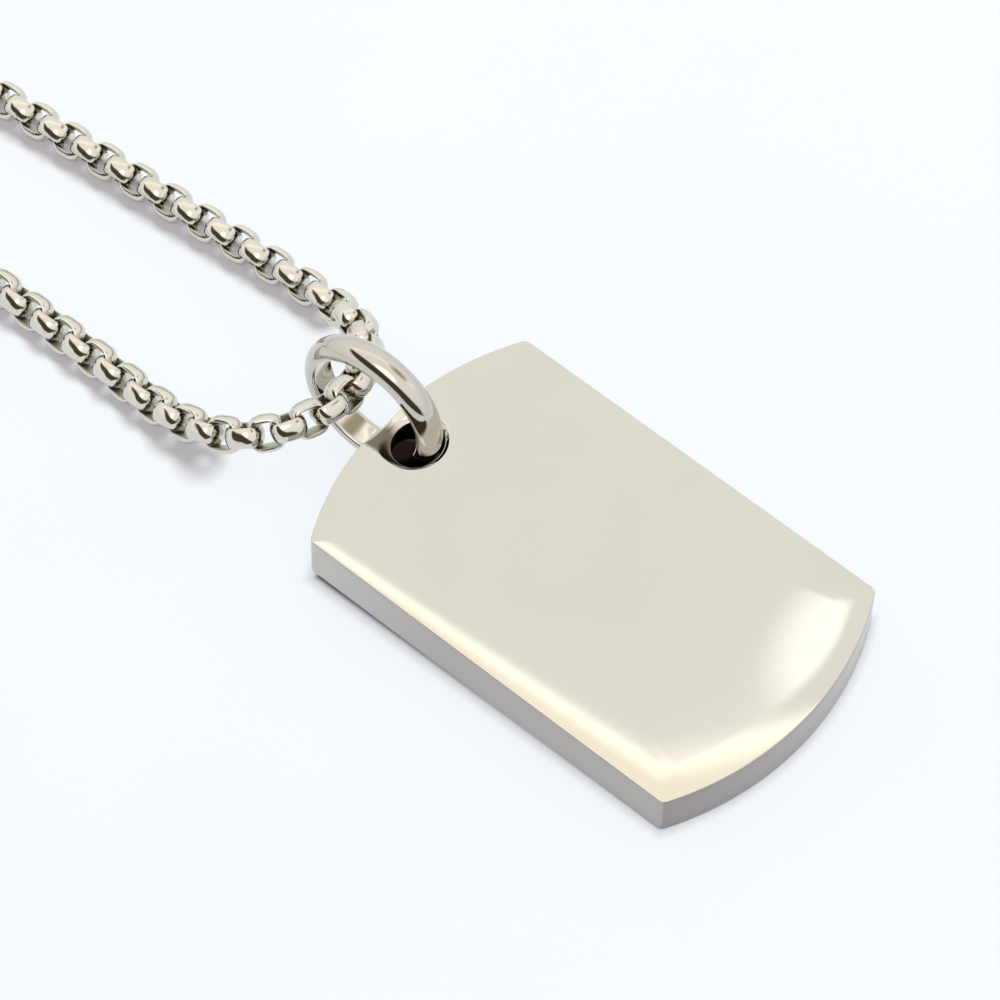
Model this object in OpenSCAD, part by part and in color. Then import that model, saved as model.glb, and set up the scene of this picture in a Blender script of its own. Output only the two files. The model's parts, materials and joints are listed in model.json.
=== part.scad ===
// Pendant necklace: a thick blank metal tag on a standing bail ring, worn on a round box chain.
// Everything lies on the plane z = 0 as it would on a table, with the ring end of the tag
// propped up by the ring. The loop opens towards +Y and closes with a plain barrel clasp.

/* [Tag] */
// Width of the tag across its straight sides
tag_w = 24; // [22:0.5:26]
// Length of the tag between the tips of its curved ends
tag_l = 39.4; // [37:0.1:41]
// Thickness of the tag
tag_t = 4; // [3.6:0.1:4.2]
// How far each end bows out beyond its corners
end_rise = 3.1; // [2.6:0.1:3.6]
// Angle that the ring under it lifts the tag by
tag_lift = 1.8; // [1.6:0.1:2]

/* [Hole and scoop] */
// Diameter of the hole for the ring
hole_d = 3.9; // [3.9:0.05:4]
// Distance from the tip of the ring end to the middle of the hole
hole_in = 2.95; // [2.9:0.05:3.1]
// How far the bowl and trough lie to the left of the hole
scoop_aside = 0.4; // [0:0.05:0.4]
// Radius of the bowl round the hole, where it meets the face
bowl_r = 2.65; // [2.6:0.05:2.8]
// Height of the bowl's centre above the face
bowl_up = 1; // [0.9:0.05:1]
// Half width of the trough where it leaves through the end
trough_half = 2.9; // [2.85:0.05:3.1]
// Radius of the trough's round floor
trough_r = 4.9; // [4.8:0.1:5.6]

/* [Bail ring] */
// Inner diameter of the ring
ring_id = 9.4; // [9.3:0.1:9.5]
// Thickness of the ring from its flat inside to its domed outside
ring_wall = 1.4; // [1.3:0.1:1.5]
// Width of the ring's band
ring_w = 2.4; // [2.2:0.1:2.5]
// Angle that the ring is turned out of line with the tag
ring_turn = 3.7; // [0:0.1:5]
// Distance from the hole to the middle of the ring, along the tag
ring_ahead = 4.05; // [4.05:0.05:4.1]

/* [Chain] */
// Diameter of the chain over its domed links
chain_d = 2.9; // [2.8:0.1:2.9]
// Spacing of the links
link_pitch = 1.655; // [1.64:0.005:1.67]
// Thickness of a link's end walls
link_wall = 0.37; // [0.3:0.01:0.37]
// Width of the strip that a link is bent from
link_band = 1.5; // [1.4:0.02:1.5]
// Free play between the end walls of two joined links
link_play = 0.35; // [0.35:0.01:0.37]
// Number of true links on each side of the ring
links_each_way = 118; // [60:1:118]

/* [Clasp] */
// Length of the clasp over both of its eyes
clasp_l = 12; // [11:0.5:12]
// Diameter of the clasp's barrel
clasp_d = 4; // [3.6:0.1:4.4]

/* [Hidden] */
$fn = 96;
// Depth by which a cutting shape runs past what it cuts
past = 1;
metal_tag = [0.82, 0.80, 0.76];
metal_ring = [0.72, 0.69, 0.65];
metal_chain = [0.77, 0.75, 0.70];

// The tag pivots on the lower edge of its far end, which puts the middle of its face over y = 0
end_r = (pow(tag_w / 2, 2) + pow(end_rise, 2)) / (2 * end_rise);
foot_y = tag_t * sin(tag_lift) - tag_l / 2 * cos(tag_lift);
hole_y = foot_y + (tag_l - hole_in) * cos(tag_lift) - tag_t / 2 * sin(tag_lift);
// The bowl sits a little nearer the end than the hole does
bowl_shift = 0.3;
bowl_in = hole_in - bowl_shift;
bowl_ball_r = sqrt(pow(bowl_r, 2) + pow(bowl_up, 2));
// The trough starts just narrower than the bowl and deepens towards the end
trough_start_half = bowl_r - 0.05;
trough_start_deep = trough_r - sqrt(pow(trough_r, 2) - pow(trough_start_half, 2));
trough_end_deep = trough_r - sqrt(pow(trough_r, 2) - pow(trough_half, 2));
trough_tilt = atan((trough_end_deep - trough_start_deep) / bowl_in);

// The ring's band has eased inner corners and a domed outside
ring_ir = ring_id / 2;
ring_or = ring_ir + ring_wall;
ring_ease = 0.22;
dome_starts = 0.55;
dome_sag = ring_wall - dome_starts;
dome_r = (pow(ring_w / 2, 2) + pow(dome_sag, 2)) / (2 * dome_sag);

// A link is a strip bent round into a closed box with domed flats
link_l = link_pitch + 2 * link_wall + link_play;
link_room = 0.27;
opening_half = link_band / 2 + link_room;
dome_half = chain_d / 2;
corner_drop = 0.6;
corner_run = 0.6;
corner_over = 0.09;

// Clasp: a barrel with a flat eye at each end, level with the chain
eye_d = 4.2;
eye_hole_d = 2.4;
eye_t = 1.5;
barrel_l = 5.2;

// Route of the chain's middle line, chosen by eye. The hidden loop is the same on both sides,
// so it is kept as pairs: distance from the loop's middle line, place along the tag.
loop_x = -1.5;
chain_z = chain_d / 2 + 0.02;
loop_half = [
    [7, 72], [8, 79], [11, 88.5], [15.5, 98.5], [21.5, 109], [28.5, 120], [35.5, 131.5],
    [41.5, 143.5], [46, 156], [49.2, 170], [50, 183.5], [48.8, 196], [45.5, 207],
    [40, 216.5], [32.5, 224], [24, 229], [16, 231.6], [9.1, 232.3], [5.6, 232.3], [2.1, 232.3]
];
left_run = [
    [-8.2, 66], [-8.2, 60], [-8.2, 54], [-8.2, 48], [-8.3, 43], [-8.4, 39]
];
// The chain climbs over the near side of the ring's band and down again, so this has heights
through_ring = [
    [-8.6, 36.2, 1.6], [-8.8, 33.7, 2], [-8.8, 31.1, 2.7], [-8.4, 28.6, 3.4],
    [-7.3, 26.4, 4.1], [-5.3, 24.6, 4.7], [-2.6, 23.5, 4.9], [0.4, 23.4, 4.8],
    [3.2, 24.6, 4.3], [5.5, 26.8, 3.3], [6.7, 29.6, 2.1], [7, 32.6, 1.5]
];
right_run = [
    [6.9, 36], [6.7, 40], [6.4, 45], [6.1, 50], [5.8, 55], [5.4, 60.5], [5.1, 66]
];
loop_out = len(loop_half) - 1;
route = concat(
    [for (i = [loop_out:-1:0]) [loop_x - loop_half[i].x, loop_half[i].y, chain_z]],
    [for (p = left_run) [p.x, p.y, chain_z]],
    through_ring,
    [for (p = right_run) [p.x, p.y, chain_z]],
    [for (p = loop_half) [loop_x + p.x, p.y, chain_z]]
);

// A smooth curve through the route, and the distance along it at each of its points
curve_steps = 8;
function smooth(a, b, c, d, t) = (
    pow(1 - t, 3) * a + (3 * pow(t, 3) - 6 * pow(t, 2) + 4) * b
    + (1 + 3 * t + 3 * pow(t, 2) - 3 * pow(t, 3)) * c + pow(t, 3) * d
) / 6;
curve = concat(
    [
        for (i = [0:len(route) - 4], k = [0:curve_steps - 1])
            smooth(route[i], route[i + 1], route[i + 2], route[i + 3], k / curve_steps)
    ],
    [let (n = len(route)) smooth(route[n - 4], route[n - 3], route[n - 2], route[n - 1], 1)]
);
curve_end = len(curve) - 1;
gone = [
    for (i = 0, s = 0; i <= curve_end; s = i < curve_end ? s + norm(curve[i + 1] - curve[i]) : s, i = i + 1) s
];
x_at = [for (i = [0:curve_end]) [gone[i], curve[i].x]];
y_at = [for (i = [0:curve_end]) [gone[i], curve[i].y]];
z_at = [for (i = [0:curve_end]) [gone[i], curve[i].z]];
function place(s) = [lookup(s, x_at), lookup(s, y_at), lookup(s, z_at)];
function chord(s) = place(s + link_pitch / 2) - place(s - link_pitch / 2);
function heading(s) = chord(s) / norm(chord(s));

// The middle link sits close to where the chain passes through the ring
middle_s = gone[curve_steps * (len(loop_half) + len(left_run) + 6)];
link_shift = 0.7;
function link_s(i) = middle_s + link_shift + i * link_pitch;

// Every other link is rolled about the chain's line by this much on its left and right strands,
// and the links between them by a quarter turn more
lean_left = 46;
lean_right = 64;
lean_over = 16;
function lean(s) = lookup(s - middle_s, [[-lean_over, lean_left], [lean_over, lean_right]]);

// Plain tube for the far stretch of chain, with flats below and beside it
tube_sides = 8;
tube_step = 6;
tube_r = chain_d / 2 / cos(180 / tube_sides);
tube_gap = 0.15;
first_s = link_s(-links_each_way) - link_l / 2 - tube_gap;
last_s = link_s(links_each_way) + link_l / 2 + tube_gap;
clasp_room = clasp_l / 2 + tube_gap - loop_half[loop_out - 1].x;

// The whole part is set so that the origin lies under the middle of its outline
near_y = -tag_l / 2 * cos(tag_lift);
far_y = loop_half[loop_out].y + eye_d / 2;
middle_y = (near_y + far_y) / 2;

module in_place() {
    translate([-loop_x, -middle_y, 0]) children();
}

// Bowl and trough cut into one face of the tag, with the face at z = tag_t
module scoop() {
    translate([-scoop_aside, tag_l - bowl_in, tag_t + bowl_up]) sphere(r = bowl_ball_r);
    translate([-scoop_aside, tag_l - bowl_in, tag_t + trough_r - trough_start_deep])
        rotate([-90 - trough_tilt, 0, 0])
            cylinder(r = trough_r, h = bowl_in + 2 * past);
}

module tag() {
    color(metal_tag) in_place() translate([0, foot_y, 0]) rotate([tag_lift, 0, 0]) difference() {
        intersection() {
            translate([-tag_w / 2, -past, 0]) cube([tag_w, tag_l + 2 * past, tag_t]);
            translate([0, end_r, -past]) cylinder(r = end_r, h = tag_t + 2 * past);
            translate([0, tag_l - end_r, -past]) cylinder(r = end_r, h = tag_t + 2 * past);
        }
        translate([0, tag_l - hole_in, -past]) cylinder(d = hole_d, h = tag_t + 2 * past);
        scoop();
        translate([0, 0, tag_t]) mirror([0, 0, 1]) scoop();
    }
}

module ring_section() {
    intersection() {
        polygon([
            [ring_ir, ring_ease - ring_w / 2], [ring_ir + ring_ease, -ring_w / 2],
            [ring_or + past, -ring_w / 2], [ring_or + past, ring_w / 2],
            [ring_ir + ring_ease, ring_w / 2], [ring_ir, ring_w / 2 - ring_ease]
        ]);
        translate([ring_or - dome_r, 0]) circle(r = dome_r);
    }
}

module bail_ring() {
    color(metal_ring) in_place() translate([0, hole_y, ring_or]) rotate([0, 0, ring_turn])
        translate([0, ring_ahead, 0]) rotate([0, 90, 0]) rotate_extrude() ring_section();
}

// One link with its length along X, its flats up and down and its opening along Y
module box_link() {
    difference() {
        intersection() {
            rotate([0, 90, 0]) cylinder(r = dome_half, h = link_l + past, center = true);
            rotate([90, 0, 0]) linear_extrude(height = link_band, center = true) polygon([
                for (side = [-1, 1], end = [-side, side], high = end == side ? [1, 0] : [0, 1])
                    [
                        end * (link_l / 2 - high * corner_run * (1 + corner_over)),
                        side * (dome_half - corner_drop + high * corner_drop * (1 + corner_over))
                    ]
            ]);
        }
        cube([link_l - 2 * link_wall, link_band + past, 2 * opening_half], center = true);
    }
}

module chain_front() {
    color(metal_chain) in_place() for (i = [-links_each_way:links_each_way]) {
        s = link_s(i);
        to = heading(s);
        turn = 90 * abs(i % 2);
        translate(place(s)) rotate([lean(s) + turn, -asin(to.z), atan2(to.y, to.x)]) box_link();
    }
}

// One corner of the tube's outline at a distance along the route
function tube_point(s, k) = let (
    to = heading(s),
    side = cross(to, [0, 0, 1]),
    angle = (k + 0.5) * 360 / tube_sides
) place(s) + tube_r * (cos(angle) * side + sin(angle) * cross(side, to));

module tube(from, to) {
    rings = ceil((to - from) / tube_step);
    points = [
        for (j = [0:rings], k = [0:tube_sides - 1]) tube_point(from + (to - from) * j / rings, k)
    ];
    sides = [
        for (j = [0:rings - 1], k = [0:tube_sides - 1])
            let (a = j * tube_sides + k, b = j * tube_sides + (k + 1) % tube_sides)
                [a, b, b + tube_sides, a + tube_sides]
    ];
    near_end = [for (k = [tube_sides - 1:-1:0]) k];
    far_end = [for (k = [0:tube_sides - 1]) rings * tube_sides + k];
    polyhedron(concat(points), concat(sides, [near_end], [far_end]));
}

module chain_back() {
    color(metal_chain) in_place() {
        tube(clasp_room, first_s);
        tube(last_s, gone[curve_end] - clasp_room);
    }
}

module clasp_eye(side) {
    translate([side * (clasp_l - eye_d) / 2, 0, chain_z]) difference() {
        union() {
            cylinder(d = eye_d, h = eye_t, center = true);
            translate([-side * eye_d / 4, 0, 0]) cube([eye_d / 2, clasp_d * 0.8, eye_t], center = true);
        }
        cylinder(d = eye_hole_d, h = eye_t + past, center = true);
    }
}

module clasp() {
    color(metal_chain) in_place() translate([loop_x, loop_half[loop_out].y, 0]) {
        translate([0, 0, clasp_d / 2]) rotate([0, 90, 0]) cylinder(d = clasp_d, h = barrel_l, center = true);
        clasp_eye(-1);
        clasp_eye(1);
    }
}

tag();
bail_ring();
chain_front();
chain_back();
clasp();
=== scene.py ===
"""Pendant necklace: a polished blank tag on a standing bail ring, worn on a round box chain."""

import json
import math

import bpy
import numpy as np
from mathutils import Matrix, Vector

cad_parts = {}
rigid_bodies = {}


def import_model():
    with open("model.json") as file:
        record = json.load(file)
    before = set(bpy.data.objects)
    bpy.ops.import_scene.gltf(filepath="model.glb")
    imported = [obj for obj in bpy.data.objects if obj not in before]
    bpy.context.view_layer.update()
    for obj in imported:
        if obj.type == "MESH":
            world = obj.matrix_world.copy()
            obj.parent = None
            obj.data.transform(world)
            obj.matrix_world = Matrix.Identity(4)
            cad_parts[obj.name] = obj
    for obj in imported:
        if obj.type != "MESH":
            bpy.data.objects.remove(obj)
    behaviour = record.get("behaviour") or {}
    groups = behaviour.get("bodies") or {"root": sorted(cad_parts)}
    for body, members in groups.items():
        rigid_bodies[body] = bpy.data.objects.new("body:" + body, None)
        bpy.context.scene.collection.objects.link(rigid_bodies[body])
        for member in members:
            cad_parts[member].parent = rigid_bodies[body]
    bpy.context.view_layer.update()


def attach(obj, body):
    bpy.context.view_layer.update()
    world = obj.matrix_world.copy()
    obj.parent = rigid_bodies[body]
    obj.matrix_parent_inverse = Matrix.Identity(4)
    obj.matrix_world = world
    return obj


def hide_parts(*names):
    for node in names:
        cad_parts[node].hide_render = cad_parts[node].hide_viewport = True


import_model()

# Lengths are in millimetres, made into metres by this. Those of the lamp, the table and the
# camera's range are in metres
MM = 0.001
TINY = 1e-4

# Where the tag's own middle lies in the row frame
TAG_MIDDLE = np.array([1.5, -107.355, 0.0])

# Tag, in its own flat layout: x across, y from the far tip to the ring end, z up from its underside
TAG_W, TAG_L, TAG_T = 24.0, 39.4, 4.0
END_RISE = 3.1
END_R = ((TAG_W / 2) ** 2 + END_RISE**2) / (2 * END_RISE)
TAG_LIFT = math.radians(1.8)
FOOT_Y = TAG_T * math.sin(TAG_LIFT) - TAG_L / 2 * math.cos(TAG_LIFT)

# Its hole, and the bowl that is cut by a ball whose middle stands above the face
HOLE_IN, HOLE_R = 2.95, 1.95
HOLE = np.array([0.0, TAG_L - HOLE_IN])
BOWL_X, BOWL_IN, BOWL_R = -0.4, 2.65, 2.65
BOWL_Y = TAG_L - BOWL_IN
BOWL_UP = 1.0
BOWL_BALL_R = math.hypot(BOWL_R, BOWL_UP)
# Past this share of the ball's radius, the bowl's height is held above the face
BALL_USED, ABOVE_FACE = 0.99, 1.0

# The trough out of the bowl, by its half widths at the bowl's middle and at the tag's end
TROUGH_R = 4.9
TROUGH_HALF, TROUGH_END_HALF = 2.6, 2.9
TROUGH_DEEP = TROUGH_R - math.sqrt(TROUGH_R**2 - TROUGH_HALF**2)
TROUGH_END_DEEP = TROUGH_R - math.sqrt(TROUGH_R**2 - TROUGH_END_HALF**2)
TROUGH_SLOPE = (TROUGH_END_DEEP - TROUGH_DEEP) / BOWL_IN
TROUGH_STOP_SLOPE = 3

# How far edges are rounded over: the bowl's rim is sharp by the tag's end, and soft further in
CORNER_ROUND = 0.35
EDGE_ROUND = 0.07
HOLE_ROUND = 0.12
TROUGH_ROUND = 0.08
BOWL_ROUND, BOWL_NEAR_ROUND = 0.3, 1.1
BOWL_SOFTENS = (3.2, 4.6)

# The buffed face slopes down at its edges, and less and less further in, over this reach
BUFFED_SLOPE = math.radians(4.2)
BUFFED_REACH = 1.9

# What counts as scoop whatever the heights say: the bowl's middle, and a strip round the hole
SCOOP_MIDDLE_R, HOLE_STRIP = 2.2, 0.2

# The scoop's painted shade, by depth below the face, distance in from the tag's end, and x
LEFT_DARK = 0.83
LEFT_DARK_BELOW, LEFT_DARK_IN, LEFT_DARK_X = (0.03, 0.25), (2.6, 4.0), (-0.6, 0.4)
WALL_DARK_BELOW, WALL_DARK_IN = (0.6, 0.9), (3.8, 4.4)

# Dull tone of the tag's wall, part satin finish and part painted shade: from left to right at its far end,
# and along its sides to the ring end
END_SATIN_SHADE = (0.62, 0.42)
SIDE_SATIN_SHADE, SIDE_SATIN_FROM = (0.43, 0.24), 0.6
EDGE_SATIN_SHADE = (0.0, 0.1, 0.4, 0.8, 1.0, 1.0)

# Rays of the tag's mesh, which run out from the hole's middle
RAY_FROM, RAY_TO, HALVINGS = 1.0, 45.0, 40
FAN_RAYS = 1440
EVEN_DEGREES, OUTLINE_STEP = 1.6, 0.42
CORNER_STEP, CORNER_NEAR, CORNER_EXTRA = 0.05, 0.45, 0.02

# Rows of the tag's mesh, from the hole's edge across the scoop, its rim and the face to the wall
HOLE_TURNS = (90, 60, 30)
SCOOP_SHARES = (0.0, 0.12, 0.25, 0.38, 0.5, 0.62, 0.73, 0.82, 0.89, 0.94, 0.975, 1.0)
RIM_STEPS, RIM_ROOM = (0.05, 0.1, 0.17, 0.25, 0.35, 0.48, 0.65), 1.2
RIM_DARK_ROWS = 3
FACE_SHARES = (0.04, 0.09, 0.16, 0.25, 0.36, 0.5, 0.66, 0.83, 1.0)
FACE_LEVELS = (2.6, 1.9, 1.35, 0.95, 0.65)
FACE_LEAST, LEVEL_ROOM, LEVEL_LEAST, LEVEL_MOST = 0.3, 2.2, 0.15, 0.85
FACE_END = 0.42
EDGE_LEVELS = (0.32, 0.24, 0.18)
EDGE_TURNS = (0, 18, 36, 54, 72, 90)
WALL_SHARES, HOLE_WALL_SHARES = (0.2, 0.4, 0.6, 0.8), (0.25, 0.5, 0.75)
LIP_SPREAD = math.radians(14)
LIP_HOLD, LIP_HOLD_LESS = 0.985, 0.285

# Bail ring: a dome outside, and inside an all but flat face that widens a hair at its edges
RING_MIDDLE = np.array([-0.261, 20.846, 6.1])
RING_TURN = math.radians(3.7)
RING_IR, RING_OR = 4.7, 6.1
RING_DOME_R, RING_DOME_TURN, RING_DOME_POINTS = 1.272, 64, 23
RING_INSIDE_HALF, RING_INSIDE_EASE, RING_INSIDE_POINTS = 0.75, 0.008, 7
RING_STATIONS = 320
# The eased corner between the two: radius and half width
RING_CORNER = [
    (5.27, 1.182), (5.14, 1.197), (5.0, 1.197), (4.88, 1.165), (4.79, 1.10), (4.735, 1.01), (4.708, 0.9),
]
# Its painted shade fades out over these heights, and over these distances past the tag's tip
RING_DARK_UP, RING_DARK_PAST_TIP = (4.3, 4.9), (0.9, 1.3)

# Chain
PITCH = 1.655
LINK_SHIFT = 0.7
CHAIN_R = 1.45
CHAIN_Z = 1.47
LINK_HALF = 1.41
LINK_WALL = 0.4
LINK_ROOM_HALF = 0.93
BAND_HALF = 0.78
# How square the link is outside and inside, how its edges are eased, and how its ends draw in
LINK_SQUARE, ROOM_SQUARE = 2.8, 6.0
LINK_EASE, ROOM_EASE = 0.15, 0.07
END_DOME = 0.15
OUTLINE_POINTS = 4001
# Painted shade on the links' inner faces
LINK_INSIDE_SHADE = 0.7
# Links are counted both ways from the middle one: the true ones, then the far ones up to the clasp
TRUE_LINKS, FAR_LINKS = 118, 33
# The first of them have the finer shape, by its stations round the link and points over its dome
FINE_LINKS = 26
FINE_SHAPE, PLAIN_SHAPE = (64, 7), (40, 5)
LINK_TURNS = (22.5, 45, 67.5, 90)
# The links that stand off the table on their way through the ring
RAISED_LEFT, RAISED_RIGHT = -7, 6
# Roll of every other link about the chain's line: on its left and right strands, and by the clasp
LEAN_LEFT, LEAN_RIGHT, LEAN_AT_CLASP = 46, 64, 90
LEAN_CHANGES = (-16, 16)

# Clasp, a barrel with an eye at each end
LOOP_X = -1.5
CLASP_Y = 232.3
CLASP_SIDES = 96
EYE_X = 3.9
EYE_R, EYE_HOLE_R, EYE_HALF = 2.1, 1.2, 0.75
EYE_TURN, EYE_SQUARE = 15, 0.5
WEB_HALF = 1.6
BARREL_R = 2.0
# Half of the barrel from its middle out, with a shallow turned groove and an eased end
BARREL_PROFILE = [
    (0.0, 2.0), (1.3, 2.0), (1.42, 1.97), (1.5, 1.88), (1.58, 1.97), (1.7, 2.0), (2.0, 2.0),
    (2.22, 1.96), (2.42, 1.84), (2.55, 1.65), (2.6, 1.42), (2.6, 0.9), (2.6, 0.3),
]

# Polish: the scales of its slow drift, fine hairs and dust, and how much each does
DRIFT_SCALE, HAIR_SCALE, DUST_SCALE = 90.0, 420.0, 1500.0
HAIR_STRETCH = (9.0, 1.0, 9.0)
DRIFT_STEP = (0.3, 0.7)
GLOSS_EVEN, GLOSS_HAIRS, GLOSS_DUST = 0.75, 0.35, 0.15
SATIN_ROUGH, DEEP_ROUGH = 0.3, 0.3
RIPPLE_DRIFT, RIPPLE_HAIRS, RIPPLE_DUST = 0.7, 0.06, 0.02
# Where the painted shade is full, no metal shows and the steel is painted near black
METAL_FADE = (1.0, 0.85)
SHADE_BLACK = (0.006, 0.003, 0.003)

# Camera: its turn and rise, what it looks at, and how far off it stands
VIEW_TURN, VIEW_RISE = math.radians(-49.181), math.radians(54.782)
VIEW_TARGET = (3.891, -96.472, 0.0)
VIEW_AWAY = 405.61
VIEW_LENS, VIEW_SENSOR = 198.0, 36.0
VIEW_NEAR, VIEW_FAR = 0.05, 20.0

# Studio: the light that comes from each part of the tent
TENT_WALL = (1.106, 1.095, 1.055)
TENT_SKIRT = (0.95, 0.95, 0.93)
SKIRT_FADE = (0.5, 0.0)
BOX_WARM = (1.38, 1.27, 1.09)
BOX_MIDDLE = (1.15, 1.125, 1.06)
BOX_RIM = (1.7, 1.68, 1.5)
# The softbox ends at two slanting edges, one where x + y and one where x + lean * y is this much
BOX_EDGE = 0.672
BOX_SIDE_EDGE, BOX_SIDE_LEAN, BOX_SIDE_WEIGHT = 0.48, 0.2, 1.3
# How far inside them it starts, its bright rim ends and its warm band ends, and how high up it starts
BOX_STARTS, BOX_RIM_ENDS, BOX_WARM_ENDS = (-0.012, 0.012), (0.06, 0.015), (0.25, 0.42)
BOX_FOOT = (0.5, 0.6)
# Round patches: direction, how many degrees out they stay full and where they end, and their light
TENT_PATCHES = [
    ((0.4705, 0.2345, 0.851), 0.6, 2.0, (1.7, 1.7, 1.62)),
    ((-0.54, -0.16, 0.83), 11, 22, (1.9, 1.78, 1.74)),
    ((0.44, -0.33, 0.84), 5, 19, (0.55, 0.49, 0.36)),
]
# The opening's top and foot along its own upward axis, where it starts on the left, and its slanting end
OPENING_UP = (0.508, -0.229, 0.830)
OPENING_TOP, OPENING_FOOT, OPENING_LEFT = (0.31, 0.2), (-0.4, -0.28), (-0.12, -0.32)
OPENING_SLANT, OPENING_ENDS = 1.5, (-0.03, -0.23)
OPENING_DARK = (0.075, 0.06, 0.035)
KEY_AIM, KEY_TARGET = (0.26, 0.05, 0.96), (4, -96, 0)
KEY_COLOUR = (0.83, 0.955, 1.0)
KEY_SIZE, KEY_ENERGY, KEY_AWAY = 0.72, 72.5, 1.4

# Table, with a faint grain between two tones
TABLE_TONE, TABLE_TONE_LIGHT = (0.147, 0.147, 0.147), (0.153, 0.153, 0.153)
TABLE_GRAIN = 40.0
TABLE_SIDES, TABLE_REACH = 96, 6.0
TABLE_GLOW = (0.36, 0.342, 0.36)
PAINTED_SHADOW_GLOW = (0.05, 0.0, 0.015)
# The table's glow fades out from just outside the tag's outline to just inside it: a painted contact
# shadow
GLOW_FADE = (-0.85, 0.6)
# Further in, the table is painted dark, as shade beneath the tag
UNDER_FADE = (0.1, 0.7)
UNDER_SHADE_TONE = (0.01, 0.006, 0.006)
# The spot of table that shows through the hole, from the tag's middle, and how far its painted shade
# reaches
SHADE_SPOT = np.array([1.6, 19.0, 0.0])
SPOT_FADE = (1.5, 1.1)


class Wire:
    """A value or colour running through a shader, which Python sums can be written with."""

    def __init__(self, shader, socket):
        self.shader, self.socket = shader, socket

    def __getitem__(self, name):
        return Wire(self.shader, self.socket.node.outputs[name])

    def __add__(self, other):
        return self.shader.sum("ADD", self, other)

    def __sub__(self, other):
        return self.shader.sum("SUBTRACT", self, other)

    def __rsub__(self, other):
        return self.shader.sum("SUBTRACT", other, self)

    def __mul__(self, other):
        return self.shader.sum("MULTIPLY", self, other)

    __radd__ = __add__
    __rmul__ = __mul__


class Shader:
    """The nodes of one finish, or of the studio's surroundings."""

    def __init__(self, tree):
        self.tree = tree
        tree.nodes.clear()

    def add(self, kind, settings=(), sockets=(), output=0):
        """One node: its settings first, then the values and wires of its sockets."""
        node = self.tree.nodes.new(kind)
        for name, value in dict(settings).items():
            setattr(node, name, value)
        for name, value in dict(sockets).items():
            if isinstance(value, Wire):
                self.tree.links.new(value.socket, node.inputs[name])
            else:
                node.inputs[name].default_value = value
        return Wire(self, node.outputs[output]) if node.outputs else node

    def sum(self, operation, a, b):
        return self.add("ShaderNodeMath", {"operation": operation}, {0: a, 1: b})

    def vector_sum(self, operation, a, b, output=0):
        """A sum on places or directions. Output 1 is the number that a product or distance comes to."""
        return self.add("ShaderNodeVectorMath", {"operation": operation}, {0: a, 1: b}, output)

    def axis(self, place, name):
        """One axis of a place or direction: X, Y or Z."""
        return self.add("ShaderNodeSeparateXYZ", {}, {"Vector": place})[name]

    def mix(self, factor, a, b):
        """Colour a where the factor is 0, and b where it is 1."""
        return self.add("ShaderNodeMix", {"data_type": "RGBA"}, {0: factor, 6: a, 7: b}, 2)

    def noise(self, place, scale, detail, roughness=0.5):
        sockets = {"Vector": place, "Scale": scale, "Detail": detail, "Roughness": roughness}
        return self.add("ShaderNodeTexNoise", {}, sockets)

    def ease(self, value, low, high):
        """0 below low and 1 above high, with a soft step between. Low may be the larger one."""
        return self.add(
            "ShaderNodeMapRange",
            {"interpolation_type": "SMOOTHSTEP", "clamp": True},
            {0: value, 1: low, 2: high, 3: 0.0, 4: 1.0},
        )

    def cone(self, toward, middle, inner, outer):
        """1 within inner degrees of a direction, and 0 beyond outer degrees."""
        along = self.vector_sum("DOT_PRODUCT", toward, Vector(middle).normalized(), 1)
        return self.ease(along, math.cos(math.radians(outer)), math.cos(math.radians(inner)))


def polished_steel(name, colour, satin_shade_colour, deep_shade_colour, cloud, gloss, waves):
    """Polished steel, with a dull tone on cut walls, part finish and part painted shade, and painted shade
    far down in hollows.

    cloud is how much the tone drifts, gloss the roughness of the polish, and waves the height of
    its ripple in millimetres.
    """
    material = bpy.data.materials.new(name)
    material.use_nodes = True
    finish = Shader(material.node_tree)
    place = finish.add("ShaderNodeTexCoord", output="Object")
    drift = finish.noise(place, DRIFT_SCALE, detail=2.0)
    drawn_out = finish.vector_sum("MULTIPLY", place, HAIR_STRETCH)
    hairs = finish.noise(drawn_out, HAIR_SCALE, detail=3.0, roughness=0.6)
    dust = finish.noise(place, DUST_SCALE, detail=2.0)
    satin_shade = finish.add("ShaderNodeAttribute", {"attribute_name": "satin_shade"}, output="Fac")
    deep_shade = finish.add("ShaderNodeAttribute", {"attribute_name": "deep_shade"}, output="Fac")
    metal = finish.ease(deep_shade, *METAL_FADE)

    darker = tuple(c * (1 - cloud) for c in colour)
    tone = finish.mix(finish.ease(drift, *DRIFT_STEP), (*darker, 1.0), (*colour, 1.0))
    # The dull wall tone is partly painted shade, the dark tone is painted shade, and at its fullest the
    # steel is painted near black
    tone = finish.mix(satin_shade, tone, (*satin_shade_colour, 1.0))
    tone = finish.mix(deep_shade, tone, (*deep_shade_colour, 1.0))
    tone = finish.mix(metal, (*SHADE_BLACK, 1.0), tone)
    roughness = gloss * (GLOSS_EVEN + GLOSS_HAIRS * hairs + GLOSS_DUST * dust)
    roughness = roughness + SATIN_ROUGH * satin_shade + DEEP_ROUGH * deep_shade
    height = RIPPLE_DRIFT * drift + RIPPLE_HAIRS * hairs + RIPPLE_DUST * dust
    bump = {"Strength": 1.0, "Distance": waves * MM, "Height": height}
    ripple = finish.add("ShaderNodeBump", {}, bump)
    steel = finish.add(
        "ShaderNodeBsdfPrincipled",
        {},
        {
            "Base Color": tone,
            "Metallic": metal,
            "Roughness": roughness,
            "Specular IOR Level": 0.0,
            "Normal": ripple,
        },
    )
    finish.add("ShaderNodeOutputMaterial", {}, {"Surface": steel})
    return material


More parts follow.
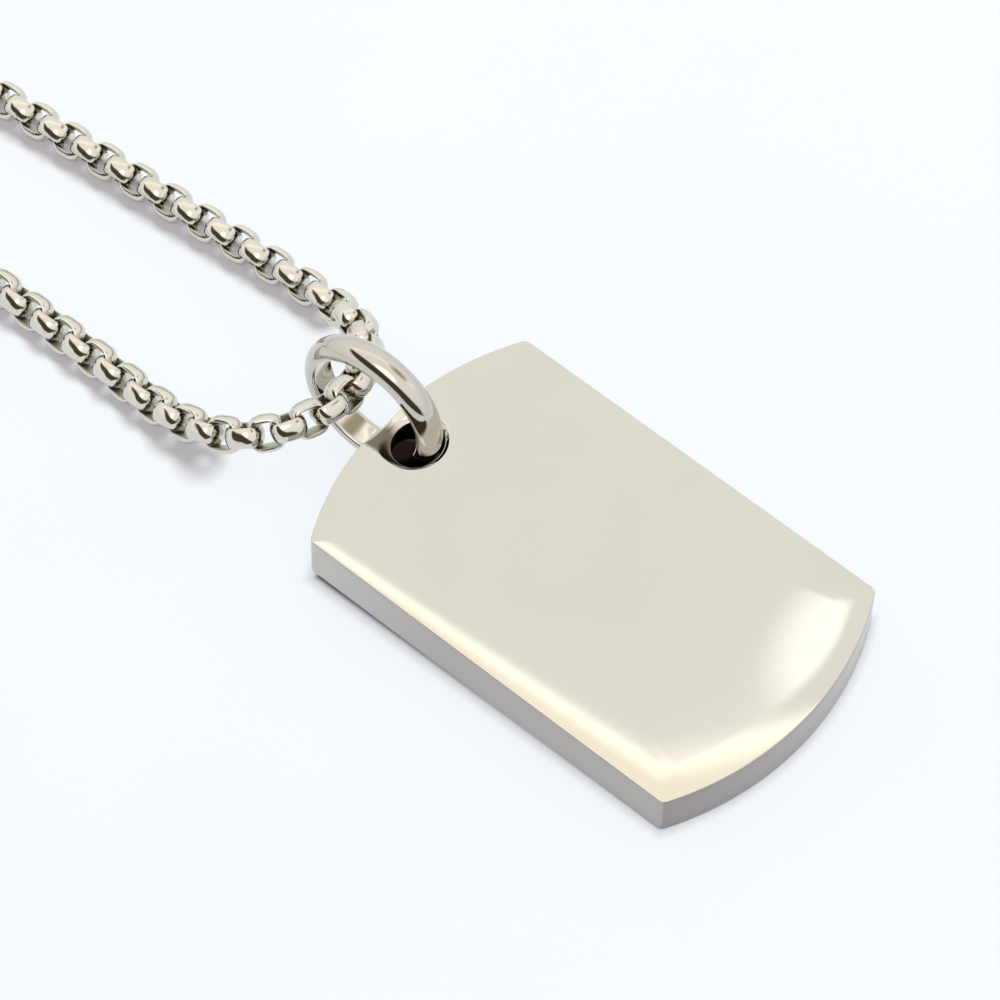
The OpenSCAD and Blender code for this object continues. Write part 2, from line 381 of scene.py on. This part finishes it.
TAG_STEEL = polished_steel(
    "tag_mirror_polish",
    colour=(0.66, 0.64, 0.585),
    # Its dull wall tone is partly painted shade, and its dark tone is painted shade in the scoop and hole
    satin_shade_colour=(0.12, 0.075, 0.095),
    deep_shade_colour=(0.10, 0.07, 0.028),
    cloud=0.02,
    gloss=0.05,
    waves=0.004,
)
RING_STEEL = polished_steel(
    "ring_mirror_polish",
    colour=(0.60, 0.57, 0.525),
    satin_shade_colour=(0.4, 0.37, 0.33),
    deep_shade_colour=(0.1, 0.08, 0.05),
    cloud=0.03,
    gloss=0.05,
    waves=0.004,
)
CHAIN_STEEL = polished_steel(
    "link_tumbled_polish",
    colour=(0.70, 0.675, 0.61),
    satin_shade_colour=(0.4, 0.37, 0.33),
    deep_shade_colour=(0.36, 0.34, 0.25),
    cloud=0.05,
    gloss=0.10,
    waves=0.003,
)
CLASP_STEEL = polished_steel(
    "clasp_turned_polish",
    colour=(0.68, 0.655, 0.60),
    satin_shade_colour=(0.4, 0.37, 0.33),
    deep_shade_colour=(0.3, 0.28, 0.22),
    cloud=0.04,
    gloss=0.12,
    waves=0.003,
)


def add_piece(name, points, faces, satin_shade, deep_shade, material, slot, *nodes):
    """A mesh piece from points in millimetres, standing for the given CAD nodes."""
    mesh = bpy.data.meshes.new(name)
    mesh.from_pydata((np.asarray(points) * MM).tolist(), [], np.asarray(faces).tolist())
    for tone, values in (("satin_shade", satin_shade), ("deep_shade", deep_shade)):
        spread = np.broadcast_to(np.asarray(values, np.float32), len(points)).copy()
        mesh.attributes.new(tone, "FLOAT", "POINT").data.foreach_set("value", spread)
    mesh.shade_smooth()
    mesh.materials.append(material)
    piece = bpy.data.objects.new(name, mesh)
    bpy.context.scene.collection.objects.link(piece)
    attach(piece, "root")
    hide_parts(*nodes)
    # The flat face stays a plain sheen, with no image of the ring in it
    piece.visible_glossy = name != "bail_band"


def wrap_faces(rows, columns):
    """Quads over a grid of points that closes both ways, with rows and columns points each way."""
    a, b = np.meshgrid(np.arange(rows), np.arange(columns), indexing="ij")
    a2, b2 = (a + 1) % rows, (b + 1) % columns
    quads = np.stack([a * columns + b, a * columns + b2, a2 * columns + b2, a2 * columns + b], -1)
    return quads.reshape(-1, 4)


def make_camera():
    back = Vector(
        (
            math.sin(VIEW_TURN) * math.cos(VIEW_RISE),
            -math.cos(VIEW_TURN) * math.cos(VIEW_RISE),
            math.sin(VIEW_RISE),
        )
    )
    data = bpy.data.cameras.new("photo_view")
    data.lens, data.sensor_width = VIEW_LENS, VIEW_SENSOR
    data.clip_start, data.clip_end = VIEW_NEAR, VIEW_FAR
    camera = bpy.data.objects.new("photo_view", data)
    camera.rotation_mode = "QUATERNION"
    camera.location = Vector(VIEW_TARGET) * MM + back * VIEW_AWAY * MM
    camera.rotation_quaternion = (-back).to_track_quat("-Z", "Y")
    bpy.context.scene.collection.objects.link(camera)
    bpy.context.scene.camera = camera


def make_tent():
    """The world: white walls, a big softbox overhead, and a low dark opening on the left."""
    scene = bpy.context.scene
    scene.view_settings.view_transform = "Standard"
    scene.world = bpy.data.worlds.new("tent")
    scene.world.use_nodes = True
    tent = Shader(scene.world.node_tree)
    toward = tent.add("ShaderNodeTexCoord", output="Generated")
    x, y, z = tent.axis(toward, "X"), tent.axis(toward, "Y"), tent.axis(toward, "Z")
    light = tent.mix(tent.ease(z, *SKIRT_FADE), (*TENT_WALL, 1.0), (*TENT_SKIRT, 1.0))

    # How far a direction lies inside the nearer of the softbox's two edges
    from_side = BOX_SIDE_WEIGHT * (BOX_SIDE_EDGE - (x + BOX_SIDE_LEAN * y))
    depth = tent.sum("MINIMUM", BOX_EDGE - (x + y), from_side)
    box_glow = tent.mix(tent.ease(depth, *BOX_WARM_ENDS), (*BOX_WARM, 1.0), (*BOX_MIDDLE, 1.0))
    box_glow = tent.mix(tent.ease(depth, *BOX_RIM_ENDS), box_glow, (*BOX_RIM, 1.0))
    in_box = tent.ease(depth, *BOX_STARTS) * tent.ease(z, *BOX_FOOT)
    light = tent.mix(in_box, light, box_glow)

    for middle, inner, outer, colour in TENT_PATCHES:
        light = tent.mix(tent.cone(toward, middle, inner, outer), light, (*colour, 1.0))

    height = tent.vector_sum("DOT_PRODUCT", toward, Vector(OPENING_UP).normalized(), 1)
    opening = tent.ease(height, *OPENING_TOP) * tent.ease(height, *OPENING_FOOT)
    opening = opening * tent.ease(x, *OPENING_LEFT)
    # Low down it reaches no further round to the back than the left side
    opening = opening * tent.ease(y - OPENING_SLANT * z, *OPENING_ENDS)
    light = tent.mix(opening, light, (*OPENING_DARK, 1.0))
    glow = tent.add("ShaderNodeBackground", {}, {"Color": light, "Strength": 1.0})
    tent.add("ShaderNodeOutputWorld", {}, {"Surface": glow})


def make_key_light():
    """The lamp that throws the soft shadows, kept out of the steel's reflections."""
    scene = bpy.context.scene
    aim = Vector(KEY_AIM).normalized()
    data = bpy.data.lights.new("key_light", "AREA")
    data.shape, data.size, data.energy = "DISK", KEY_SIZE, KEY_ENERGY
    data.color = KEY_COLOUR
    key = bpy.data.objects.new("key_light", data)
    key.location = Vector(KEY_TARGET) * MM + aim * KEY_AWAY
    key.rotation_mode = "QUATERNION"
    key.rotation_quaternion = (-aim).to_track_quat("-Z", "Y")
    key.visible_glossy = False
    scene.collection.objects.link(key)
    # The tag's own thin shadow, and the long ones of what stands off the table, are left out of it
    casters = bpy.data.collections.new("casts_key_shadow")
    for piece in scene.collection.all_objects:
        if piece.type == "MESH" and piece.name not in ("tag_body", "bail_band", "links_in_ring"):
            casters.objects.link(piece)
    key.light_linking.blocker_collection = casters


def make_table():
    """A pale table that glows a little of itself, apart from where the tag covers it: there shadow and
    shade are painted.
    """
    material = bpy.data.materials.new("pale_table")
    material.use_nodes = True
    table = Shader(material.node_tree)
    place = table.add("ShaderNodeTexCoord", output="Object")
    grain = table.noise(place, TABLE_GRAIN, detail=3.0)
    tone = table.mix(grain, (*TABLE_TONE, 1.0), (*TABLE_TONE_LIGHT, 1.0))

    # How far a place lies in from the tag's outline, from its straight sides and round ends
    tag_foot = TAG_MIDDLE + np.array([0.0, FOOT_Y, 0.0])
    inside = TAG_W / 2 * MM - table.sum("ABSOLUTE", table.axis(place, "X") - tag_foot[0] * MM, 0.0)
    for end_middle in (END_R, TAG_L - END_R):
        centre = tuple((tag_foot + np.array([0.0, end_middle, 0.0])) * MM)
        reach = table.vector_sum("DISTANCE", place, centre, 1)
        inside = table.sum("MINIMUM", inside, END_R * MM - reach)
    # A painted contact shadow round the tag, where the glow fades to a faint plum
    covered = table.ease(inside, GLOW_FADE[0] * MM, GLOW_FADE[1] * MM)
    glow = table.mix(covered, (*TABLE_GLOW, 1.0), (*PAINTED_SHADOW_GLOW, 1.0))
    # Painted shade: the table is painted dark beneath the tag and at the spot seen through the hole
    hidden = table.ease(inside, UNDER_FADE[0] * MM, UNDER_FADE[1] * MM)
    off_spot = table.vector_sum("DISTANCE", place, tuple((TAG_MIDDLE + SHADE_SPOT) * MM), 1)
    in_spot = table.ease(off_spot, SPOT_FADE[0] * MM, SPOT_FADE[1] * MM)
    hidden = table.sum("MAXIMUM", hidden, in_spot)
    glow = table.mix(hidden, glow, (*UNDER_SHADE_TONE, 1.0))
    tone = table.mix(hidden, tone, (*UNDER_SHADE_TONE, 1.0))
    paper = table.add(
        "ShaderNodeBsdfPrincipled",
        {},
        {
            "Base Color": tone,
            "Roughness": 0.9,
            "Specular IOR Level": 0.0,
            "Emission Color": glow,
            "Emission Strength": 1.0,
        },
    )
    table.add("ShaderNodeOutputMaterial", {}, {"Surface": paper})
    turns = np.linspace(0, 2 * math.pi, TABLE_SIDES, False)
    rim = [(TABLE_REACH * math.cos(a), TABLE_REACH * math.sin(a), 0.0) for a in turns]
    mesh = bpy.data.meshes.new("table")
    mesh.from_pydata(rim, [], [list(range(TABLE_SIDES))])
    mesh.materials.append(material)
    floor = bpy.data.objects.new("table", mesh)
    bpy.context.scene.collection.objects.link(floor)


def soft_min(a, b, k):
    """The smaller of two, with the crease between them rounded over k."""
    h = np.clip(k - np.abs(a - b), 0, None) / k
    return np.minimum(a, b) - h * h * k / 4


def edge_distance(x, y):
    """Distance in from the tag's outline, with its four corners eased."""
    side = TAG_W / 2 - np.abs(x)
    low = END_R - np.hypot(x, y - END_R)
    high = END_R - np.hypot(x, y - (TAG_L - END_R))
    return soft_min(side, soft_min(low, high, CORNER_ROUND), CORNER_ROUND)


def bowl_height(x, y):
    """Height of the bowl above the tag's underside; well above the face beyond its rim."""
    reach = np.hypot(x - BOWL_X, y - BOWL_Y)
    ball = BOWL_UP - np.sqrt(np.clip(BOWL_BALL_R**2 - reach**2, TINY, None))
    return TAG_T + np.where(reach < BOWL_BALL_R * BALL_USED, ball, ABOVE_FACE)


def trough_height(x, y):
    """Height of the trough that runs from the bowl's middle out through the tag's end."""
    along = y - BOWL_Y
    lean = math.sqrt(1 + TROUGH_SLOPE**2)
    floor = TROUGH_R - TROUGH_DEEP - TROUGH_SLOPE * along
    arc = floor - lean * np.sqrt(np.clip(TROUGH_R**2 - (x - BOWL_X)**2, TINY, None))
    return TAG_T + arc + np.clip(-along, 0, None) * TROUGH_STOP_SLOPE


def face_height(x, y):
    """Height of the buffed face: flat in the middle, falling away gently towards its edges."""
    d = np.clip(edge_distance(x, y), 0, None)
    return TAG_T - math.tan(BUFFED_SLOPE) * BUFFED_REACH * np.exp(-d / BUFFED_REACH)


def in_scoop(x, y):
    """Whether a place lies in the bowl, the trough or the strip round the hole."""
    deep_shade = np.minimum(bowl_height(x, y), trough_height(x, y)) < face_height(x, y)
    in_middle = np.hypot(x - BOWL_X, y - BOWL_Y) < SCOOP_MIDDLE_R
    by_hole = np.hypot(x - HOLE[0], y - HOLE[1]) < HOLE_R + HOLE_STRIP
    return deep_shade | in_middle | by_hole


def top_height(x, y):
    """Height of the whole top side, with the rims of the bowl and trough rounded over."""
    with_trough = soft_min(face_height(x, y), trough_height(x, y), TROUGH_ROUND)
    bowl_round = np.interp(TAG_L - y, BOWL_SOFTENS, (BOWL_ROUND, BOWL_NEAR_ROUND))
    return soft_min(with_trough, bowl_height(x, y), bowl_round)


def scoop_shade(x, y):
    """How much painted shade the scoop gets: its left side out to the tag's end, and the bowl's wall below
    its rim.
    """
    below = face_height(x, y) - top_height(x, y)
    from_tip = TAG_L - y
    left_side = np.interp(from_tip, LEFT_DARK_IN, (1.0, 0.0)) * np.interp(x, LEFT_DARK_X, (1.0, 0.0))
    left_tone = np.interp(below, LEFT_DARK_BELOW, (0.0, LEFT_DARK)) * left_side
    on_wall = np.interp(from_tip, WALL_DARK_IN, (0.0, 1.0))
    wall_tone = np.interp(below, WALL_DARK_BELOW, (0.0, 1.0)) * on_wall
    return np.maximum(left_tone, wall_tone)


def ray_search(angles, inside, low, high):
    """How far along each ray from the hole's middle a test first fails, by halving."""
    near, far = np.full(len(angles), float(low)), np.full(len(angles), float(high))
    for _ in range(HALVINGS):
        middle = (near + far) / 2
        ok = inside(HOLE[0] + middle * np.cos(angles), HOLE[1] + middle * np.sin(angles))
        near, far = np.where(ok, middle, near), np.where(ok, far, middle)
    return (near + far) / 2


def tag_angles():
    """Directions out from the hole: even steps, even spacing on the outline, and more at its corners."""
    fan = np.linspace(-math.pi, math.pi, FAN_RAYS, endpoint=False)
    out = ray_search(fan, lambda x, y: edge_distance(x, y) > 0, RAY_FROM, RAY_TO)
    x, y = out * np.cos(fan), out * np.sin(fan)
    step = np.hypot(np.diff(x, append=x[0]), np.diff(y, append=y[0]))
    weight = np.degrees(2 * math.pi / len(fan)) / EVEN_DEGREES + step / OUTLINE_STEP
    for corner_y in (END_RISE, TAG_L - END_RISE):
        for corner_x in (-TAG_W / 2, TAG_W / 2):
            off = np.hypot(x - corner_x, y - (corner_y - HOLE[1]))
            closer = step / CORNER_STEP * np.exp(-((off / CORNER_NEAR) ** 2))
            weight = weight + CORNER_EXTRA + closer
    total = np.concatenate([[0], np.cumsum(weight)])
    count = int(total[-1])
    return np.interp(np.arange(count) / count * total[-1], total, np.append(fan, math.pi))


def wall_satin_shade(x, y):
    """How dull the tag's wall is at each place of the outline, part finish and part painted shade: most at
    its far end, least by the ring.
    """
    end_wall = np.interp(x, (-TAG_W / 2, TAG_W / 2), END_SATIN_SHADE)
    side_wall = np.interp(y, (SIDE_SATIN_FROM * TAG_L, TAG_L - END_RISE), SIDE_SATIN_SHADE)
    return np.where(y < END_RISE, end_wall, side_wall)


def make_tag():
    angles = tag_angles()
    ray = np.stack([np.cos(angles), np.sin(angles)], -1)
    none, full = np.zeros(len(angles)), np.ones(len(angles))

    def reach_of(distance):
        return ray_search(angles, lambda x, y: edge_distance(x, y) > distance, RAY_FROM, RAY_TO)

    def point(r):
        return HOLE[0] + r * ray[:, 0], HOLE[1] + r * ray[:, 1]

    rim = ray_search(angles, in_scoop, HOLE_R, RAY_TO)
    face_end = reach_of(FACE_END)
    # Where the trough leaves through the end the rows spread out again past its two lips
    through = angles[rim >= face_end]
    lip_low, lip_high = through.min(), through.max()
    inward = np.clip(np.minimum(angles - lip_low, lip_high - angles) / LIP_SPREAD, 0, 1)
    hold = LIP_HOLD - LIP_HOLD_LESS * inward * inward * (3 - 2 * inward)
    scoop_edge = np.minimum(rim, HOLE_R + (face_end - HOLE_R) * hold)

    rows = []

    def add_row(r):
        rows.append((r, top_height(*point(r))))

    wall_top = top_height(*point(full * (HOLE_R + HOLE_ROUND)))
    for turn in np.radians(HOLE_TURNS):
        r = HOLE_R + HOLE_ROUND * (1 - math.sin(turn))
        rows.append((full * r, wall_top - HOLE_ROUND * (1 - math.cos(turn))))
    for share in SCOOP_SHARES:
        add_row(HOLE_R + HOLE_ROUND + (scoop_edge - HOLE_R - HOLE_ROUND) * share)
    spare = face_end - scoop_edge
    for step in RIM_STEPS:
        start = scoop_edge + np.minimum(step, spare * step / RIM_ROOM)
        add_row(start)
    levels = [reach_of(d) for d in FACE_LEVELS]
    span = face_end - start
    most = face_end - FACE_LEAST * np.minimum(span, LEVEL_ROOM)
    inner = np.clip(levels[0], start + FACE_LEAST * span, most)
    for share in FACE_SHARES:
        r = start + (inner - start) * share
        add_row(r)
    for level in levels[1:]:
        left = face_end - r
        r = np.clip(level, r + LEVEL_LEAST * left, r + LEVEL_MOST * left)
        add_row(r)
    add_row(face_end)
    for d in EDGE_LEVELS:
        add_row(reach_of(d))
    edge_top = top_height(*point(reach_of(EDGE_ROUND)))
    for turn in np.radians(EDGE_TURNS):
        r = reach_of(EDGE_ROUND * (1 - math.sin(turn)))
        rows.append((r, edge_top - EDGE_ROUND * (1 - math.cos(turn))))

    # The underside mirrors the top, and two walls join them
    layers = [np.stack([*point(r), z], -1) for r, z in rows]
    under = [np.stack([p[:, 0], p[:, 1], TAG_T - p[:, 2]], -1) for p in layers]
    outer_wall = [layers[-1] + (under[-1] - layers[-1]) * s for s in WALL_SHARES]
    hole_wall = [under[0] + (layers[0] - under[0]) * s for s in HOLE_WALL_SHARES]
    grid = np.array(layers + outer_wall + under[::-1] + hole_wall)

    hole_rows, edge_rows = len(HOLE_TURNS), len(EDGE_TURNS)
    # The wall's dull tone is partly painted shade
    at_wall = wall_satin_shade(*point(reach_of(0.0)))
    satin_shade_side = [none] * (len(layers) - edge_rows) + [at_wall * share for share in EDGE_SATIN_SHADE]
    satin_shade = satin_shade_side + [at_wall] * len(outer_wall) + satin_shade_side[::-1] + [none] * len(hole_wall)
    top_deep = [scoop_shade(p[:, 0], p[:, 1]) for p in layers[hole_rows:-edge_rows]]
    top_deep = [full] * hole_rows + top_deep + [none] * edge_rows
    # Underneath, the whole scoop is painted dark as shade up to just past its rim
    dark_rows = hole_rows + len(SCOOP_SHARES) + RIM_DARK_ROWS
    under_deep = [full] * dark_rows + top_deep[dark_rows:]
    deep_shade = top_deep + [none] * len(outer_wall) + under_deep[::-1] + [full] * len(hole_wall)

    x, along, up = grid.reshape(-1, 3).T
    c, s = math.cos(TAG_LIFT), math.sin(TAG_LIFT)
    place = np.stack([x, FOOT_Y + along * c - up * s, along * s + up * c], -1) + TAG_MIDDLE
    faces = wrap_faces(len(grid), len(angles))[:, ::-1]
    satin_shade, deep_shade = np.ravel(satin_shade), np.ravel(deep_shade)
    add_piece("tag_body", place, faces, satin_shade, deep_shade, TAG_STEEL, "tag_steel", "tag")


def make_ring():
    dome = np.radians(np.linspace(-RING_DOME_TURN, RING_DOME_TURN, RING_DOME_POINTS))
    middle = RING_OR - RING_DOME_R
    across = [(middle + RING_DOME_R * math.cos(a), RING_DOME_R * math.sin(a)) for a in dome]
    across += RING_CORNER
    inside = np.linspace(RING_INSIDE_HALF, -RING_INSIDE_HALF, RING_INSIDE_POINTS)
    across += [(RING_IR + RING_INSIDE_EASE * (w / RING_INSIDE_HALF) ** 2, w) for w in inside]
    across += [(r, -w) for r, w in reversed(RING_CORNER)]
    r, w = np.array(across).T
    around = np.linspace(0, 2 * math.pi, RING_STATIONS, endpoint=False)
    x = np.broadcast_to(w, (len(around), len(w)))
    y = np.outer(np.cos(around), r)
    z = np.outer(np.sin(around), r)
    c, s = math.cos(RING_TURN), math.sin(RING_TURN)
    place = np.stack([x * c - y * s, x * s + y * c, z], -1).reshape(-1, 3) + RING_MIDDLE
    # Its stretch inside the hole, under the tag's tip, is painted dark all round, as shade
    tip_y = FOOT_Y + TAG_L * math.cos(TAG_LIFT)
    past_tip = [tip_y + past for past in RING_DARK_PAST_TIP]
    deep_shade = np.interp(place[:, 1], past_tip, (1.0, 0.0))
    deep_shade = np.interp(place[:, 2], RING_DARK_UP, (1.0, 0.0)) * deep_shade
    place = place + TAG_MIDDLE
    faces = wrap_faces(len(around), len(w))[:, ::-1]
    add_piece("bail_band", place, faces, 0.0, deep_shade, RING_STEEL, "ring_steel", "bail_ring")


# The chain's route, as in the source: the hidden loop is the same on both sides
LOOP_HALF = [
    (7, 72), (8, 79), (11, 88.5), (15.5, 98.5), (21.5, 109), (28.5, 120), (35.5, 131.5),
    (41.5, 143.5), (46, 156), (49.2, 170), (50, 183.5), (48.8, 196), (45.5, 207),
    (40, 216.5), (32.5, 224), (24, 229), (16, 231.6), (9.1, 232.3), (5.6, 232.3), (2.1, 232.3),
]
LEFT_RUN = [(-8.2, 66), (-8.2, 60), (-8.2, 54), (-8.2, 48), (-8.3, 43), (-8.4, 39)]
THROUGH_RING = [
    (-8.6, 36.2, 1.6), (-8.8, 33.7, 2), (-8.8, 31.1, 2.7), (-8.4, 28.6, 3.4),
    (-7.3, 26.4, 4.1), (-5.3, 24.6, 4.7), (-2.6, 23.5, 4.9), (0.4, 23.4, 4.8),
    (3.2, 24.6, 4.3), (5.5, 26.8, 3.3), (6.7, 29.6, 2.1), (7, 32.6, 1.5),
]
RIGHT_RUN = [(6.9, 36), (6.7, 40), (6.4, 45), (6.1, 50), (5.8, 55), (5.4, 60.5), (5.1, 66)]
CURVE_STEPS = 8
# How many curve pieces into THROUGH_RING the line's middle lies
MIDDLE_PIECE = 6


class Route:
    """The chain's middle line, as a smooth curve that can be asked for a place or heading."""

    def __init__(self):
        points = [(LOOP_X - x, y, CHAIN_Z) for x, y in reversed(LOOP_HALF)]
        points += [(x, y, CHAIN_Z) for x, y in LEFT_RUN]
        points += THROUGH_RING
        points += [(x, y, CHAIN_Z) for x, y in RIGHT_RUN]
        points += [(LOOP_X + x, y, CHAIN_Z) for x, y in LOOP_HALF]
        points = np.array(points, float)
        t = (np.arange(CURVE_STEPS) / CURVE_STEPS)[:, None]
        curve = [self.smooth(points[i:i + 4], t) for i in range(len(points) - 3)]
        curve.append(self.smooth(points[-4:], np.array([[1.0]])))
        self.curve = np.concatenate(curve)
        steps = np.linalg.norm(np.diff(self.curve, axis=0), axis=1)
        self.gone = np.concatenate([[0], np.cumsum(steps)])
        self.middle = self.gone[CURVE_STEPS * (len(LOOP_HALF) + len(LEFT_RUN) + MIDDLE_PIECE)]

    @staticmethod
    def smooth(four, t):
        a, b, c, d = four
        return (
            (1 - t) ** 3 * a
            + (3 * t**3 - 6 * t**2 + 4) * b
            + (1 + 3 * t + 3 * t**2 - 3 * t**3) * c
            + t**3 * d
        ) / 6

    def place(self, s):
        return np.array([np.interp(s, self.gone, self.curve[:, k]) for k in range(3)])

    def heading(self, s):
        chord = self.place(s + PITCH / 2) - self.place(s - PITCH / 2)
        return chord / np.linalg.norm(chord)

    def link_at(self, i):
        """How far along the line a true link sits."""
        return self.middle + LINK_SHIFT + i * PITCH

    def lean(self, s):
        return np.interp(s - self.middle, LEAN_CHANGES, (LEAN_LEFT, LEAN_RIGHT))


def link_shape(stations, dome_points, corner_turns):
    """One link's grid of points: a strip with eased edges, bent round into a box with domed flats."""
    dense = np.linspace(0, 2 * math.pi, OUTLINE_POINTS)
    spread_x = np.sign(np.cos(dense)) * np.abs(np.cos(dense)) ** (2 / LINK_SQUARE) * LINK_HALF
    spread_z = np.sign(np.sin(dense)) * np.abs(np.sin(dense)) ** (2 / LINK_SQUARE) * CHAIN_R
    length = np.concatenate([[0], np.cumsum(np.hypot(np.diff(spread_x), np.diff(spread_z)))])
    at = np.arange(stations) / stations * length[-1]
    out = np.stack([np.interp(at, length, spread_x), np.interp(at, length, spread_z)], -1)
    angle = np.arctan2(out[:, 1], out[:, 0])
    room_x = np.abs(np.cos(angle) / (LINK_HALF - LINK_WALL)) ** ROOM_SQUARE
    room_z = np.abs(np.sin(angle) / LINK_ROOM_HALF) ** ROOM_SQUARE
    reach = (room_x + room_z) ** (-1 / ROOM_SQUARE)
    inner = np.stack([reach * np.cos(angle), reach * np.sin(angle)], -1)

    def eased_edge(ease, on_outside):
        """Points round one edge of the strip: place across it, depth below its face, and which face."""
        return [
            (BAND_HALF - ease * (1 - math.sin(a)), ease * (1 - math.cos(a)), on_outside)
            for a in corner_turns
        ]

    outer_edge, inner_edge = eased_edge(LINK_EASE, True), eased_edge(ROOM_EASE, False)
    section = [(y, 0.0, True) for y in np.linspace(-1, 1, dome_points) * (BAND_HALF - LINK_EASE)]
    section += outer_edge + inner_edge[::-1]
    section += [(y, 0.0, False) for y in (BAND_HALF - ROOM_EASE, 0.0, ROOM_EASE - BAND_HALF)]
    section += [(-y, depth, on_outside) for y, depth, on_outside in inner_edge + outer_edge[::-1]]
    grid = np.zeros((stations, len(section), 3))
    for k, (y, depth, on_outside) in enumerate(section):
        domed = out * (1 - END_DOME * (y / BAND_HALF) ** 2, math.sqrt(1 - (y / CHAIN_R) ** 2))
        across = inner - domed
        across /= np.linalg.norm(across, axis=1)[:, None]
        flat = domed + depth * across if on_outside else inner - depth * across
        grid[:, k, 0], grid[:, k, 1], grid[:, k, 2] = flat[:, 0], y, flat[:, 1]
    # The inner faces carry painted shade
    deep_shade = np.tile([0.0 if on_outside else LINK_INSIDE_SHADE for _, _, on_outside in section], stations)
    return grid.reshape(-1, 3), wrap_faces(stations, len(section)), deep_shade


def turned(roll, heading):
    """The rotation that lays a link along a heading, rolled about it by that many degrees."""
    a, b, c = math.radians(roll), -math.asin(heading[2]), math.atan2(heading[1], heading[0])
    about_x = np.array([[1, 0, 0], [0, math.cos(a), -math.sin(a)], [0, math.sin(a), math.cos(a)]])
    about_y = np.array([[math.cos(b), 0, math.sin(b)], [0, 1, 0], [-math.sin(b), 0, math.cos(b)]])
    about_z = np.array([[math.cos(c), -math.sin(c), 0], [math.sin(c), math.cos(c), 0], [0, 0, 1]])
    return about_z @ about_y @ about_x


def make_links(name, shape, placings, node):
    """Many links joined as one piece: placings are distance along the route and roll in degrees."""
    points, faces, deep_shade = shape
    all_points, all_faces = [], []
    for k, (s, roll) in enumerate(placings):
        all_points.append(points @ turned(roll, ROUTE.heading(s)).T + ROUTE.place(s) + TAG_MIDDLE)
        all_faces.append(faces + k * len(points))
    joined, joined_faces = np.concatenate(all_points), np.concatenate(all_faces)
    joined_deep = np.tile(deep_shade, len(placings))
    add_piece(name, joined, joined_faces, 0.0, joined_deep, CHAIN_STEEL, "chain_steel", node)


def true_links(first, last):
    """Placings of the links that are solids in the source too, by their numbers."""
    placings = []
    for i in range(first, last + 1):
        s = ROUTE.link_at(i)
        placings.append((s, ROUTE.lean(s) + 90 * (i % 2)))
    return placings


def far_links(side, lean_from):
    """The rest of the chain, evenly spaced up to the link that hangs in the clasp's eye."""
    start = ROUTE.link_at(side * TRUE_LINKS)
    end = ROUTE.gone[-1] if side > 0 else 0.0
    placings = []
    for k in range(1, FAR_LINKS + 1):
        share = k / FAR_LINKS
        lean = lean_from + (LEAN_AT_CLASP - lean_from) * share
        placings.append((start + (end - start) * share, lean + 90 * (k % 2)))
    return placings


def make_chain():
    corner = np.radians(LINK_TURNS)
    fine = link_shape(*FINE_SHAPE, corner)
    plain = link_shape(*PLAIN_SHAPE, corner[1::2])
    make_links("links_in_ring", fine, true_links(RAISED_LEFT, RAISED_RIGHT), "chain_front")
    by_ring = true_links(-FINE_LINKS, RAISED_LEFT - 1) + true_links(RAISED_RIGHT + 1, FINE_LINKS)
    make_links("links_by_ring", fine, by_ring, "chain_front")
    make_links("links_left", plain, true_links(-TRUE_LINKS, -FINE_LINKS - 1), "chain_front")
    make_links("links_right", plain, true_links(FINE_LINKS + 1, TRUE_LINKS), "chain_front")
    make_links("links_far_left", plain, far_links(-1, LEAN_LEFT), "chain_back")
    make_links("links_far_right", plain, far_links(1, LEAN_RIGHT), "chain_back")


def make_clasp():
    points, faces = [], []

    def add_shell(grid):
        start = sum(len(p) for p in points)
        faces.append(wrap_faces(*grid.shape[:2]) + start)
        points.append(grid.reshape(-1, 3))

    profile = [(-x, r) for x, r in BARREL_PROFILE[:0:-1]] + BARREL_PROFILE
    x, r = np.array(profile).T
    around = np.linspace(0, 2 * math.pi, CLASP_SIDES, endpoint=False)
    along = np.broadcast_to(x, (CLASP_SIDES, len(x)))
    up = BARREL_R + np.outer(np.sin(around), r)
    add_shell(np.stack([along, np.outer(np.cos(around), r), up], -1))

    # Each eye is a flat loop whose inner side widens into a web
    rows = []
    for turn in np.radians(np.arange(0, 360, EYE_TURN)):
        u, v = math.cos(turn), math.sin(turn)
        u, v = np.sign(u) * abs(u) ** EYE_SQUARE, np.sign(v) * abs(v) ** EYE_SQUARE
        rows.append((0.5 + 0.5 * u, EYE_HALF * v))
    web_side = WEB_HALF / np.clip(np.abs(np.sin(around)), TINY, None)
    for side in (-1, 1):
        inward = -side * np.cos(around)
        web = np.minimum(EYE_R / np.clip(inward, TINY, None), web_side)
        outline = np.where(inward > 0, np.maximum(EYE_R, web), EYE_R)
        grid = np.zeros((CLASP_SIDES, len(rows), 3))
        for k, (share, high) in enumerate(rows):
            reach = EYE_HOLE_R + (outline - EYE_HOLE_R) * share
            grid[:, k, 0] = side * EYE_X + reach * np.cos(around)
            grid[:, k, 1] = reach * np.sin(around)
            grid[:, k, 2] = CHAIN_Z + high
        add_shell(grid)
    place = np.concatenate(points) + np.array([LOOP_X, CLASP_Y, 0]) + TAG_MIDDLE
    add_piece("clasp_barrel", place, np.concatenate(faces), 0.0, 0.0, CLASP_STEEL, "chain_steel", "clasp")


make_camera()
ROUTE = Route()
make_tag()
make_ring()
make_chain()
make_clasp()
make_tent()
make_key_light()
make_table()
